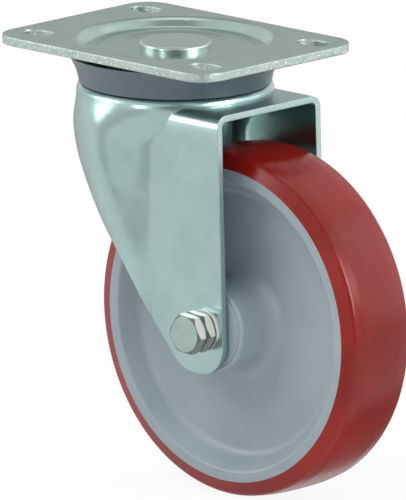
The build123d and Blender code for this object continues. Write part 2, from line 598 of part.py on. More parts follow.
# ------------------------------------------------------------------ export
NODES = {
    "top_plate": make_top_plate,
    "kingpin": make_kingpin,
    "lower_race_cup": make_lower_race_cup,
    "upper_balls": lambda: ball_ring(UPPER_RACE_RADIUS, UPPER_BALL_LEVEL),
    "lower_balls": lambda: ball_ring(LOWER_RACE_RADIUS, LOWER_BALL_LEVEL),
    "dust_seal": make_dust_seal,
    "fork": make_fork,
    "axle_bolt": make_axle_bolt,
    "jam_nut": make_jam_nut,
    "head_washer": lambda: make_washer(1),
    "nut_washer": lambda: make_washer(-1),
    "lock_nut": make_lock_nut,
    "lock_nut_insert": make_lock_nut_insert,
    "axle_tube": make_axle_tube,
    "tyre": make_tyre,
    "wheel_core": make_wheel_core,
    "bearing_sleeve": make_bearing_sleeve,
    "hub_cover_near": lambda: make_hub_cover(1),
    "hub_cover_far": lambda: make_hub_cover(-1),
    "rollers": make_rollers,
    "roller_cage": make_roller_cage,
}

os.makedirs("parts", exist_ok=True)
for node, make in NODES.items():
    export_step(make(), f"parts/{node}.step")
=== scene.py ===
"""Swivel castor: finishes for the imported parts, a threaded axle bolt, and a plain studio.

Lengths are in metres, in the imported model's own frame: +Z up, +X from the swivel axis towards
the wheel, and the axle along Y with the bolt's head at -Y.
"""
import logging
import math
from dataclasses import dataclass
from enum import Enum

import bmesh
import bpy
from mathutils import Matrix, Vector


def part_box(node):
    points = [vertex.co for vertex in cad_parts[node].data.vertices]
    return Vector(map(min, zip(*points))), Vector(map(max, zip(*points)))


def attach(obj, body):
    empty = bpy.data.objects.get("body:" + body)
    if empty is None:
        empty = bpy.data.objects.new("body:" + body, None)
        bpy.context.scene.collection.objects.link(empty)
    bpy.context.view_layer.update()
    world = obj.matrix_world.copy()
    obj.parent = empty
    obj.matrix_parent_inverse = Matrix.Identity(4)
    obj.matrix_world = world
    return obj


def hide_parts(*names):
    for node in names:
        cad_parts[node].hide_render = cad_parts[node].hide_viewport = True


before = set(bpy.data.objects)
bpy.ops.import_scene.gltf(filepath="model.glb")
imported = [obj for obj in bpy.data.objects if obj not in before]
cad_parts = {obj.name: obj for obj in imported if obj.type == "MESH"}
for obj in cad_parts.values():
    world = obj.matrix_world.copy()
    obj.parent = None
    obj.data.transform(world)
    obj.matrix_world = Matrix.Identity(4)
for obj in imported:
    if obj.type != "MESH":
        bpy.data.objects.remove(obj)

log = logging.getLogger("castor")

MM = 0.001
Colour = tuple[float, float, float]
Range = tuple[float, float]
Point = tuple[float, float, float]
Source = bpy.types.NodeSocket | float | tuple[float, ...]

WHITE: Colour = (1.0, 1.0, 1.0)


def srgb(red: int, green: int, blue: int) -> Colour:
    """A colour given as display values, in the linear values that shaders use.

    Args:
        red: Red, from 0 to 255.
        green: Green, from 0 to 255.
        blue: Blue, from 0 to 255.

    Returns:
        The colour's linear values, by the curve of the sRGB standard.
    """
    toe_end, toe_slope = 0.04045, 12.92
    offset, power = 0.055, 2.4

    def linear(value: int) -> float:
        """One channel's linear value."""
        share = value / 255
        return share / toe_slope if share <= toe_end else ((share + offset) / (1 + offset)) ** power

    return linear(red), linear(green), linear(blue)


def dimmed(colour: Colour, share: float) -> Colour:
    """A colour with each of its values times a share."""
    return tuple(value * share for value in colour)


def direction(azimuth: float, elevation: float) -> Vector:
    """A unit vector at an azimuth from +X towards +Y and an elevation, both in degrees."""
    turn, rise = math.radians(azimuth), math.radians(elevation)
    return Vector((math.cos(turn) * math.cos(rise), math.sin(turn) * math.cos(rise), math.sin(rise)))


# ------------------------------------------------------------------ node graphs
class Graph:
    """Adds nodes to a tree and joins them, so that a recipe reads as a list of steps."""

    # A Mix node's factor and two colours, and its mixed colour: its other sockets have the same names.
    MIX_INPUTS = (0, 6, 7)
    MIX_OUTPUT = 2

    def __init__(self, tree: bpy.types.NodeTree) -> None:
        """Starts on an empty or existing tree."""
        self.tree = tree

    def add(self, kind: str, inputs: dict[str | int, Source] | None = None,
            **settings: object) -> bpy.types.Node:
        """Adds one node.

        Args:
            kind: The node's type, such as "ShaderNodeMath".
            inputs: What feeds each input, by its name or number: a socket to link or a plain value.
            settings: The node's own properties.

        Returns:
            The new node.
        """
        node = self.tree.nodes.new(kind)
        for name, value in settings.items():
            setattr(node, name, value)
        for key, source in (inputs or {}).items():
            self.feed(node.inputs[key], source)
        return node

    def feed(self, socket: bpy.types.NodeSocket, source: Source) -> None:
        """Links a socket to its source, or sets its plain value.

        Args:
            socket: The input to feed.
            source: A socket to link, or a value; a colour may leave out its alpha.
        """
        if isinstance(source, bpy.types.NodeSocket):
            self.tree.links.new(source, socket)
        elif isinstance(source, tuple) and socket.type == "RGBA" and len(source) == 3:
            socket.default_value = (*source, 1.0)
        else:
            socket.default_value = source

    def maths(self, operation: str, *terms: Source) -> bpy.types.NodeSocket:
        """The output of a Math node with this operation on these terms."""
        return self.add("ShaderNodeMath", dict(enumerate(terms)), operation=operation).outputs[0]

    def vector(self, operation: str, *terms: Source, output: str = "Vector") -> bpy.types.NodeSocket:
        """An output of a Vector Math node with this operation on these terms."""
        return self.add("ShaderNodeVectorMath", dict(enumerate(terms)), operation=operation).outputs[output]

    def ramp(self, value: Source, low: float, high: float,
             start: float = 0.0, end: float = 1.0) -> bpy.types.NodeSocket:
        """Maps a value smoothly from low..high to start..end, and holds it beyond them.

        Args:
            value: The value to map.
            low: Where the result is start.
            high: Where the result is end; it may be less than low.
            start: The result at low.
            end: The result at high.

        Returns:
            The result.
        """
        limits = {"From Min": low, "From Max": high, "To Min": start, "To Max": end}
        node = self.add("ShaderNodeMapRange", {"Value": value, **limits}, interpolation_type="SMOOTHSTEP")
        return node.outputs["Result"]

    def noise(self, place: Source, scale: Source, detail: float, rough: float) -> bpy.types.NodeSocket:
        """The value of a Noise texture at a place."""
        settings = {"Vector": place, "Scale": scale, "Detail": detail, "Roughness": rough}
        return self.add("ShaderNodeTexNoise", settings).outputs[0]

    def mix(self, share: Source, first: Source, second: Source) -> bpy.types.NodeSocket:
        """A colour between two colours.

        Args:
            share: How much of the second colour there is, from 0 to 1.
            first: The colour at 0.
            second: The colour at 1.

        Returns:
            The mixed colour.
        """
        sources = dict(zip(self.MIX_INPUTS, (share, first, second)))
        return self.add("ShaderNodeMix", data_type="RGBA", inputs=sources).outputs[self.MIX_OUTPUT]

    def split(self, vector: Source) -> list[bpy.types.NodeSocket]:
        """The X, Y and Z of a vector."""
        return list(self.add("ShaderNodeSeparateXYZ", {0: vector}).outputs)

    def object_place(self) -> bpy.types.NodeSocket:
        """The place on the piece, in its own coordinates."""
        return self.add("ShaderNodeTexCoord").outputs["Object"]

    def object_normal(self) -> bpy.types.NodeSocket:
        """The surface's direction, in the piece's own coordinates."""
        return self.add("ShaderNodeTexCoord").outputs["Normal"]


class Effect(Enum):
    """Surface effects that several finishes share, each a shader node group."""

    PLATED = "plated mottle"
    SHEARED = "sheared edge"
    MOULDED = "moulded skin"
    HANDLED = "handling marks"


class Group(Graph):
    """The graph of a shader node group, with its own inputs and outputs at hand."""

    def __init__(self, effect: Effect, inputs: dict[str, float], outputs: tuple[str, ...]) -> None:
        """Starts a group with a Place vector and number inputs, and with number outputs.

        Args:
            effect: Which effect the group is, which names it.
            inputs: Each number input's name and its usual value.
            outputs: Each output's name.
        """
        super().__init__(bpy.data.node_groups.new(effect.value, "ShaderNodeTree"))
        sockets = self.tree.interface
        sockets.new_socket("Place", in_out="INPUT", socket_type="NodeSocketVector")
        for name, usual in inputs.items():
            sockets.new_socket(name, in_out="INPUT", socket_type="NodeSocketFloat").default_value = usual
        for name in outputs:
            sockets.new_socket(name, in_out="OUTPUT", socket_type="NodeSocketFloat")
        self.given = self.add("NodeGroupInput").outputs
        self.result = self.add("NodeGroupOutput").inputs


class EffectShelf:
    """Builds each shared effect once and places it in any material."""

    WAVE_SCALE = 24.0
    FINE_SHARE = 0.02
    SHEAR_PATCH_SCALE = 160.0
    SPECK_SCALE = 260.0
    RUB_SCALE = 70.0
    # Each set of scratches: how far it is turned, in radians, and its scale along each axis.
    SCRATCHES = ((0.5, (260.0, 2600.0, 300.0)),
                 (2.1, (2200.0, 300.0, 420.0)),
                 (1.2, (420.0, 300.0, 2400.0)))
    # Shares of that turn about X, Y and Z.
    SCRATCH_TURN = (1.0, 0.6, 1.3)

    def __init__(self) -> None:
        """Builds nothing until an effect is asked for."""
        self.trees: dict[Effect, bpy.types.NodeTree] = {}

    def place(self, graph: Graph, effect: Effect, **values: Source) -> bpy.types.bpy_prop_collection:
        """Places an effect in a material's graph.

        Args:
            graph: The material's graph.
            effect: Which effect.
            values: The group's inputs, with underscores for spaces; Place is the piece's own coordinates.

        Returns:
            The group node's outputs.
        """
        if effect not in self.trees:
            builders = {Effect.PLATED: self.build_plated, Effect.SHEARED: self.build_sheared,
                        Effect.MOULDED: self.build_moulded, Effect.HANDLED: self.build_handled}
            self.trees[effect] = builders[effect]().tree
        node = graph.add("ShaderNodeGroup", node_tree=self.trees[effect])
        graph.feed(node.inputs["Place"], graph.object_place())
        for name, value in values.items():
            graph.feed(node.inputs[name.replace("_", " ")], value)
        return node.outputs

    def build_plated(self) -> Group:
        """Cloudy passivation over zinc, and the sheet's slight waviness.

        Returns:
            The group's graph.
        """
        group = Group(Effect.PLATED, {"Cloud Scale": 45.0, "Grain Scale": 900.0, "Waviness": 1.0},
                      ("Cloud", "Grain", "Height"))
        place = group.given["Place"]
        cloud = group.noise(place, group.given["Cloud Scale"], detail=4.0, rough=0.55)
        fine = group.noise(place, group.given["Grain Scale"], detail=2.0, rough=0.6)
        wave = group.noise(place, self.WAVE_SCALE, detail=1.0, rough=0.4)
        ripple = group.maths("MULTIPLY", fine, self.FINE_SHARE)
        group.feed(group.result["Cloud"], group.ramp(cloud, low=0.3, high=0.7))
        group.feed(group.result["Grain"], group.ramp(fine, low=0.35, high=0.65))
        group.feed(group.result["Height"], group.maths("MULTIPLY_ADD", wave, group.given["Waviness"], ripple))
        return group

    def build_sheared(self) -> Group:
        """The torn, sparkling face of a sheared sheet edge, wherever Edge is 1.

        Returns:
            The group's graph.
        """
        group = Group(Effect.SHEARED, {"Edge": 1.0, "Tear Scale": 700.0}, ("Sparkle", "Shade", "Height"))
        place, edge, scale = (group.given[name] for name in ("Place", "Edge", "Tear Scale"))
        tear = group.noise(place, scale, detail=4.0, rough=0.65)
        facets = group.add("ShaderNodeTexVoronoi", {"Vector": place, "Scale": scale}).outputs["Distance"]
        patches = group.noise(place, self.SHEAR_PATCH_SCALE, detail=2.0, rough=0.5)
        for name, value in (("Sparkle", group.ramp(tear, low=0.52, high=0.68)),
                            ("Shade", group.ramp(patches, low=0.35, high=0.7)),
                            ("Height", group.maths("ADD", tear, facets))):
            group.feed(group.result[name], group.maths("MULTIPLY", value, edge))
        return group

    def build_moulded(self) -> Group:
        """A moulded part's fine skin texture, flow clouds and dust.

        Returns:
            The group's graph.
        """
        group = Group(Effect.MOULDED, {"Skin Scale": 2500.0, "Flow Scale": 28.0}, ("Flow", "Skin", "Speck"))
        place = group.given["Place"]
        skin = group.noise(place, group.given["Skin Scale"], detail=2.0, rough=0.6)
        flow = group.noise(place, group.given["Flow Scale"], detail=3.0, rough=0.5)
        dots = {"Vector": place, "Scale": self.SPECK_SCALE, "Randomness": 1.0}
        specks = group.add("ShaderNodeTexVoronoi", dots).outputs["Distance"]
        group.feed(group.result["Flow"], group.ramp(flow, low=0.3, high=0.7))
        group.feed(group.result["Skin"], skin)
        group.feed(group.result["Speck"], group.ramp(specks, low=0.10, high=0.04))
        return group

    def build_handled(self) -> Group:
        """Short fine scratches and rubbed patches from handling in the plant.

        Returns:
            The group's graph.
        """
        group = Group(Effect.HANDLED, {"Amount": 1.0}, ("Scratch", "Rub"))
        place, amount = group.given["Place"], group.given["Amount"]
        strokes = []
        for turn, stretched in self.SCRATCHES:
            angles = tuple(turn * share for share in self.SCRATCH_TURN)
            turned = group.add("ShaderNodeMapping", {"Vector": place, "Rotation": angles}).outputs[0]
            fine = group.noise(group.vector("MULTIPLY", turned, stretched), 1.0, detail=2.0, rough=0.6)
            strokes.append(group.ramp(fine, low=0.66, high=0.74))
        scratch, *others = strokes
        for stroke in others:
            scratch = group.maths("MAXIMUM", scratch, stroke)
        patches = group.ramp(group.noise(place, self.RUB_SCALE, detail=3.0, rough=0.6), low=0.5, high=0.75)
        group.feed(group.result["Scratch"], group.maths("MULTIPLY", scratch, amount))
        group.feed(group.result["Rub"], group.maths("MULTIPLY", patches, amount))
        return group


EFFECTS = EffectShelf()


class Shading:
    """One material's graph, with its Principled shader ready to be fed."""

    def __init__(self, name: str) -> None:
        """Starts a material with only its output and shader.

        Args:
            name: The material's name.
        """
        self.material = bpy.data.materials.new(name)
        self.material.use_nodes = True
        self.material.node_tree.nodes.clear()
        self.graph = Graph(self.material.node_tree)
        self.shader = self.graph.add("ShaderNodeBsdfPrincipled")
        self.graph.add("ShaderNodeOutputMaterial", {"Surface": self.shader.outputs[0]})

    def set(self, **values: Source) -> None:
        """Feeds the shader's inputs, with underscores for spaces in their names."""
        for name, value in values.items():
            self.graph.feed(self.shader.inputs[name.replace("_", " ")], value)

    def rounded(self, radius: float, lean: Source | None, samples: int = 4) -> bpy.types.NodeSocket:
        """The surface's direction with its edges rounded in the shading only.

        Args:
            radius: The radius to which edges look rounded.
            lean: What is added to the direction, in the piece's own coordinates, or None.
            samples: How many rays look for an edge.

        Returns:
            The direction.
        """
        facing = self.graph.add("ShaderNodeBevel", {"Radius": radius}, samples=samples).outputs[0]
        if lean is None:
            return facing
        turned = self.graph.add("ShaderNodeVectorTransform", {0: lean}, vector_type="VECTOR",
                                convert_from="OBJECT", convert_to="WORLD").outputs[0]
        return self.graph.vector("NORMALIZE", self.graph.vector("ADD", facing, turned))

    def bump(self, height: Source, depth: float, facing: Source | None = None) -> None:
        """Raises the surface in the shading only.

        Args:
            height: The height, as a share of the depth.
            depth: How far a height of 1 stands up.
            facing: The surface's direction before it is raised, or None for its own.
        """
        node = self.graph.add("ShaderNodeBump", {"Height": height, "Distance": depth})
        if facing is not None:
            self.graph.feed(node.inputs["Normal"], facing)
        self.set(Normal=node.outputs[0])


# ------------------------------------------------------------------ finishes
@dataclass(frozen=True)
class EdgeMask:
    """Finds the plate's sheared edges: upright walls that lie further out than the dish.

    Attributes:
        outer: Distance from the swivel axis beyond which an upright wall is an edge.
        slack: How far an edge's direction may lean and still count in full.
        fade: How much further it may lean before it no longer counts.
    """

    outer: float
    slack: float = 0.3
    fade: float = 0.2

    def build(self, graph: Graph) -> bpy.types.NodeSocket:
        """Builds the mask.

        Args:
            graph: The material's graph.

        Returns:
            The mask's value, 1 on a sheared edge.
        """
        x, y, _ = graph.split(graph.object_place())
        reach = graph.maths("SQRT", graph.maths("MULTIPLY_ADD", x, x, graph.maths("MULTIPLY", y, y)))
        lean = graph.maths("ABSOLUTE", graph.split(graph.object_normal())[2])
        beyond = graph.maths("GREATER_THAN", reach, self.outer)
        return graph.maths("MULTIPLY", beyond, graph.ramp(lean, self.slack + self.fade, self.slack))


@dataclass(frozen=True)
class FrontEdgeMask(EdgeMask):
    """Finds the fork's sheared front edges: faces that look forward and lie forward of X outer.

    Here slack and fade count how far the X of the surface's direction falls short of 1.
    """

    slack: float = 0.25
    fade: float = 0.1

    def build(self, graph: Graph) -> bpy.types.NodeSocket:
        """Builds the mask.

        Args:
            graph: The material's graph.

        Returns:
            The mask's value, 1 on a sheared edge.
        """
        x, _, _ = graph.split(graph.object_place())
        forward = graph.split(graph.object_normal())[0]
        beyond = graph.maths("GREATER_THAN", x, self.outer)
        full = 1 - self.slack
        return graph.maths("MULTIPLY", beyond, graph.ramp(forward, full - self.fade, full))


@dataclass(frozen=True)
class Shoulder:
    """The soft roll of the fork's sides up into its long bends, shown in the shading only.

    Attributes:
        foot: Level at which the roll begins.
        top: Level at which it is steepest.
        steepest: How far it leans there, in radians.
    """

    foot: float = -39.0 * MM
    top: float = -24.0 * MM
    steepest: float = math.radians(14.0)

    def lean(self, graph: Graph) -> bpy.types.NodeSocket:
        """Builds what the roll adds to the direction of the fork's sides.

        Args:
            graph: The material's graph.

        Returns:
            A vector in the piece's own coordinates.
        """
        level = graph.split(graph.object_place())[2]
        sideways = graph.maths("ABSOLUTE", graph.split(graph.object_normal())[1])
        rise = graph.maths("MULTIPLY", graph.ramp(level, self.foot, self.top, 0.0, self.steepest), sideways)
        return graph.add("ShaderNodeCombineXYZ", {"Z": rise}).outputs[0]


@dataclass(frozen=True)
class PressedZinc:
    """Zinc-plated pressed sheet with a blue-green passivation and bright sheared edges."""

    light: Colour = srgb(176, 202, 199)
    deep: Colour = srgb(167, 194, 190)
    torn: Colour = srgb(194, 204, 196)
    sparkle: Colour = (0.9, 0.92, 0.9)
    waviness: float = 0.3
    handling: float = 0.3
    scratch_share: float = 0.25
    roughness: float = 0.23
    cloud_roughness: float = 0.03
    rub_roughness: float = 0.05
    edge_roughness: float = 0.14
    tear: float = 1.0
    tear_height: float = 2.2
    depth: float = 0.05 * MM
    edge_round: float = 0.9 * MM
    shoulder: Shoulder | None = None

    def make(self, name: str, edge_mask: EdgeMask) -> bpy.types.Material:
        """Makes the finish.

        Args:
            name: The material's name.
            edge_mask: Where this sheet was sheared.

        Returns:
            The material.
        """
        shading = Shading(name)
        graph = shading.graph
        plated = EFFECTS.place(graph, Effect.PLATED, Waviness=self.waviness)
        handled = EFFECTS.place(graph, Effect.HANDLED, Amount=self.handling)
        edge = edge_mask.build(graph)
        sheared = EFFECTS.place(graph, Effect.SHEARED, Edge=graph.maths("MULTIPLY", edge, self.tear))
        face = graph.mix(plated["Cloud"], self.deep, self.light)
        face = graph.mix(graph.maths("MULTIPLY", handled["Scratch"], self.scratch_share), face, self.torn)
        torn = graph.mix(sheared["Shade"], self.light, self.torn)
        torn = graph.mix(sheared["Sparkle"], torn, self.sparkle)
        rough: Source = self.roughness
        for value, share in ((plated["Cloud"], self.cloud_roughness), (handled["Rub"], self.rub_roughness),
                             (edge, self.edge_roughness)):
            rough = graph.maths("MULTIPLY_ADD", value, share, rough)
        shading.set(Base_Color=graph.mix(edge, face, torn), Metallic=1.0, Roughness=rough)
        height = graph.maths("MULTIPLY_ADD", sheared["Height"], self.tear_height, plated["Height"])
        lean = self.shoulder.lean(graph) if self.shoulder else None
        shading.bump(height, self.depth, shading.rounded(self.edge_round, lean))
        return shading.material


@dataclass(frozen=True)
class FastenerZinc:
    """Zinc on cold-formed fasteners whose axis lies along Y.

    The hexagon's trimmed faces are painted near white, a painted highlight; those that look down get
    painted shade, and the ring at each chamfer gets a painted dark reflection in the same dark colour.
    Each of these is found by the surface's direction, through the limits below.
    """

    colour: Colour = srgb(176, 196, 191)
    # Painted highlight: the trimmed faces are coloured near white to stand for the light they catch.
    flats_painted_light: Colour = srgb(248, 247, 242)
    # Painted shade on the faces that look down, and a painted dark reflection on each chamfer's ring; the
    # share below is how much of it is laid on.
    painted_dark: Colour = srgb(84, 88, 86)
    painted_dark_share: float = 0.8
    cloud_scale: float = 160.0
    cloud_shade: float = 0.88
    waviness: float = 0.4
    handling: float = 0.6
    roughness: float = 0.30
    cloud_roughness: float = 0.08
    rub_roughness: float = 0.08
    shine: float = 0.25
    depth: float = 0.02 * MM
    flat_limits: Range = (0.75, 0.35)
    under_limits: Range = (-0.1, -0.45)
    ring_face_limits: Range = (0.95, 0.90)
    ring_flat_limits: Range = (0.70, 0.78)

    def make(self, name: str) -> bpy.types.Material:
        """Makes the finish.

        Args:
            name: The material's name.

        Returns:
            The material.
        """
        shading = Shading(name)
        graph = shading.graph
        plated = EFFECTS.place(graph, Effect.PLATED, Cloud_Scale=self.cloud_scale, Waviness=self.waviness)
        handled = EFFECTS.place(graph, Effect.HANDLED, Amount=self.handling)
        _, across, upward = graph.split(graph.object_normal())
        across = graph.maths("ABSOLUTE", across)
        flat = graph.ramp(across, *self.flat_limits)
        # Faces that look down, which get painted shade.
        under = graph.ramp(upward, *self.under_limits)
        # Each chamfer's ring, which gets a painted dark reflection.
        ring = graph.maths("MULTIPLY", graph.ramp(across, *self.ring_face_limits),
                           graph.ramp(across, *self.ring_flat_limits))
        faces = graph.mix(plated["Cloud"], self.colour, dimmed(self.colour, self.cloud_shade))
        # Painted highlight on the trimmed faces, with painted shade where they look down.
        flats_painted_light = graph.mix(graph.maths("MULTIPLY", under, self.painted_dark_share), self.flats_painted_light, self.painted_dark)
        colour = graph.mix(flat, faces, flats_painted_light)
        # Painted dark reflection on each chamfer's ring.
        colour = graph.mix(graph.maths("MULTIPLY", ring, self.painted_dark_share), colour, self.painted_dark)
        rough = graph.maths("MULTIPLY_ADD", plated["Cloud"], self.cloud_roughness, self.roughness)
        rough = graph.maths("MULTIPLY_ADD", handled["Rub"], self.rub_roughness, rough)
        metal = graph.maths("MULTIPLY_ADD", flat, self.shine - 1.0, 1.0)
        shading.set(Base_Color=colour, Metallic=metal, Roughness=rough)
        shading.bump(graph.maths("ADD", plated["Height"], handled["Scratch"]), self.depth)
        return shading.material


@dataclass(frozen=True)
class GroundSteel:
    """Hardened, ground bearing steel under a film of oil."""

    colour: Colour = srgb(150, 152, 156)
    roughness: float = 0.16
    stain: float = 0.7
    grain: float = 0.08
    cloud_scale: float = 220.0
    waviness: float = 0.1
    oil: float = 0.4
    oil_roughness: float = 0.2
    depth: float = 0.01 * MM

    def make(self, name: str) -> bpy.types.Material:
        """Makes the finish.

        Args:
            name: The material's name.

        Returns:
            The material.
        """
        shading = Shading(name)
        graph = shading.graph
        plated = EFFECTS.place(graph, Effect.PLATED, Cloud_Scale=self.cloud_scale, Waviness=self.waviness)
        colour = graph.mix(plated["Cloud"], self.colour, dimmed(self.colour, self.stain))
        rough = graph.maths("MULTIPLY_ADD", plated["Grain"], self.grain, self.roughness)
        shading.set(Base_Color=colour, Metallic=1.0, Roughness=rough,
                    Coat_Weight=self.oil, Coat_Roughness=self.oil_roughness)
        shading.bump(plated["Height"], self.depth)
        return shading.material


@dataclass(frozen=True)
class MouldedPlastic:
    """A moulded plastic part: nearly even colour, a fine skin and a soft shine."""

    colour: Colour
    shade: Colour
    roughness: float
    flow_roughness: float = 0.08
    dust_light: float = 1.35
    dust_limit: float = 0.9
    dust_share: float = 0.12
    ior: float = 1.5
    skin_depth: float = 0.006 * MM

    def make(self, name: str) -> bpy.types.Material:
        """Makes the finish.

        Args:
            name: The material's name.

        Returns:
            The material.
        """
        shading = Shading(name)
        graph = shading.graph
        moulded = EFFECTS.place(graph, Effect.MOULDED)
        dust = tuple(min(value, self.dust_limit) for value in dimmed(self.colour, self.dust_light))
        colour = graph.mix(moulded["Flow"], self.shade, self.colour)
        colour = graph.mix(graph.maths("MULTIPLY", moulded["Speck"], self.dust_share), colour, dust)
        rough = graph.maths("MULTIPLY_ADD", moulded["Flow"], self.flow_roughness, self.roughness)
        shading.set(Base_Color=colour, Metallic=0.0, IOR=self.ior, Roughness=rough)
        shading.bump(moulded["Skin"], self.skin_depth)
        return shading.material


NYLON = MouldedPlastic(srgb(226, 228, 224), srgb(212, 215, 212), roughness=0.42)


@dataclass(frozen=True)
class CastUrethane:
    """Cast red polyurethane: glossy, with faint flow clouds and light rubs."""

    colour: Colour = srgb(154, 27, 18)
    shade: Colour = srgb(134, 20, 15)
    flow_scale: float = 18.0
    skin_scale: float = 1400.0
    handling: float = 0.25
    roughness: float = 0.19
    flow_roughness: float = 0.06
    rub_roughness: float = 0.08
    scratch_height: float = 0.4
    ior: float = 1.44
    skin_depth: float = 0.008 * MM

    def make(self, name: str) -> bpy.types.Material:
        """Makes the finish.

        Args:
            name: The material's name.

        Returns:
            The material.
        """
        shading = Shading(name)
        graph = shading.graph
        moulded = EFFECTS.place(graph, Effect.MOULDED, Flow_Scale=self.flow_scale, Skin_Scale=self.skin_scale)
        handled = EFFECTS.place(graph, Effect.HANDLED, Amount=self.handling)
        colour = graph.mix(moulded["Flow"], self.shade, self.colour)
        rough = graph.maths("MULTIPLY_ADD", moulded["Flow"], self.flow_roughness, self.roughness)
        rough = graph.maths("MULTIPLY_ADD", handled["Rub"], self.rub_roughness, rough)
        shading.set(Base_Color=colour, Metallic=0.0, IOR=self.ior, Roughness=rough)
        height = graph.maths("MULTIPLY_ADD", handled["Scratch"], self.scratch_height, moulded["Skin"])
        shading.bump(height, self.skin_depth)
        return shading.material


# ------------------------------------------------------------------ threaded bolt
class ThreadTree:
    """Geometry nodes for a bolt's rod: a plain shank, and a helical ridge on a thinner core."""

    SIZES = ("Shank Start", "Thread Start", "Tip", "Major Radius", "Pitch", "Axis X", "Axis Z")
    BAR_SIDES = 96
    STEPS_PER_TURN = 48
    # A square stood on its corner, so the ridge's two flanks meet at 90 degrees.
    RIDGE_CORNERS = 4
    RIDGE_PER_PITCH = 0.5
    TIP_DROP_PER_RIDGE = 0.5
    UP_TO_ALONG_Y = (-math.pi / 2, 0.0, 0.0)

    def __init__(self) -> None:
        """Builds the tree, which joins the rod to the head that it is given."""
        self.tree = bpy.data.node_groups.new("bolt rod", "GeometryNodeTree")
        sockets = self.tree.interface
        sockets.new_socket("Geometry", in_out="INPUT", socket_type="NodeSocketGeometry")
        for name in self.SIZES:
            sockets.new_socket(name, in_out="INPUT", socket_type="NodeSocketFloat")
        sockets.new_socket("Material", in_out="INPUT", socket_type="NodeSocketMaterial")
        sockets.new_socket("Geometry", in_out="OUTPUT", socket_type="NodeSocketGeometry")
        self.graph = Graph(self.tree)
        self.given = self.graph.add("NodeGroupInput").outputs
        self.join()

    def along(self, geometry: Source, start: Source) -> bpy.types.NodeSocket:
        """Lays geometry that was built up +Z along +Y instead.

        Args:
            geometry: The geometry, built on the Z axis from 0 upwards.
            start: Y of the place on the bolt's axis where it begins.

        Returns:
            The geometry in its place.
        """
        corner = {"X": self.given["Axis X"], "Y": start, "Z": self.given["Axis Z"]}
        place = self.graph.add("ShaderNodeCombineXYZ", corner).outputs[0]
        moved = {"Geometry": geometry, "Translation": place, "Rotation": self.UP_TO_ALONG_Y}
        return self.graph.add("GeometryNodeTransform", moved).outputs[0]

    def bar(self, start: Source, end: Source, radius: Source, end_radius: Source) -> bpy.types.NodeSocket:
        """A round bar on the bolt's axis.

        Args:
            start: Y where it begins.
            end: Y where it ends.
            radius: Its radius where it begins.
            end_radius: Its radius where it ends.

        Returns:
            The bar.
        """
        sizes = {"Vertices": self.BAR_SIDES, "Radius Bottom": radius, "Radius Top": end_radius,
                 "Depth": self.graph.maths("SUBTRACT", end, start)}
        return self.along(self.graph.add("GeometryNodeMeshCone", sizes).outputs[0], start)

    def helix(self, radius: Source, ridge: Source, length: Source) -> bpy.types.NodeSocket:
        """The thread's ridge, which the spiral's own direction makes left-handed.

        Args:
            radius: The core's radius, on which the ridge is centred.
            ridge: How far the ridge stands out from it.
            length: The thread's length.

        Returns:
            The ridge, on the Z axis from 0 upwards.
        """
        graph = self.graph
        turns = graph.maths("DIVIDE", length, self.given["Pitch"])
        sizes = {"Resolution": self.STEPS_PER_TURN, "Rotations": turns, "Start Radius": radius,
                 "End Radius": radius, "Height": length}
        spiral = graph.add("GeometryNodeCurveSpiral", sizes).outputs[0]
        upright = graph.add("GeometryNodeSetCurveNormal", {"Curve": spiral}, mode="Z_UP").outputs[0]
        outline = {"Resolution": self.RIDGE_CORNERS, "Radius": ridge}
        profile = graph.add("GeometryNodeCurvePrimitiveCircle", outline).outputs[0]
        swept = {"Curve": upright, "Profile Curve": profile, "Fill Caps": True}
        return graph.add("GeometryNodeCurveToMesh", swept).outputs[0]

    def join(self) -> None:
        """Joins head, shank, core, tip and thread into one mesh with one material."""
        graph, given = self.graph, self.given
        ridge = graph.maths("MULTIPLY", given["Pitch"], self.RIDGE_PER_PITCH)
        core = graph.maths("SUBTRACT", given["Major Radius"], ridge)
        chamfer = graph.maths("SUBTRACT", given["Tip"], ridge)
        length = graph.maths("SUBTRACT", chamfer, given["Thread Start"])
        tip_radius = graph.maths("SUBTRACT", core, graph.maths("MULTIPLY", ridge, self.TIP_DROP_PER_RIDGE))
        joined = graph.add("GeometryNodeJoinGeometry")
        for piece in (given["Geometry"],
                      self.bar(given["Shank Start"], given["Thread Start"], given["Major Radius"],
                               given["Major Radius"]),
                      self.bar(given["Thread Start"], chamfer, core, core),
                      self.bar(chamfer, given["Tip"], core, tip_radius),
                      self.along(self.helix(core, ridge, length), given["Thread Start"])):
            graph.feed(joined.inputs[0], piece)
        solid = graph.add("GeometryNodeRealizeInstances", {0: joined.outputs[0]}).outputs[0]
        painted = graph.add("GeometryNodeSetMaterial", {"Geometry": solid, "Material": given["Material"]})
        graph.add("NodeGroupOutput", {"Geometry": painted.outputs[0]})


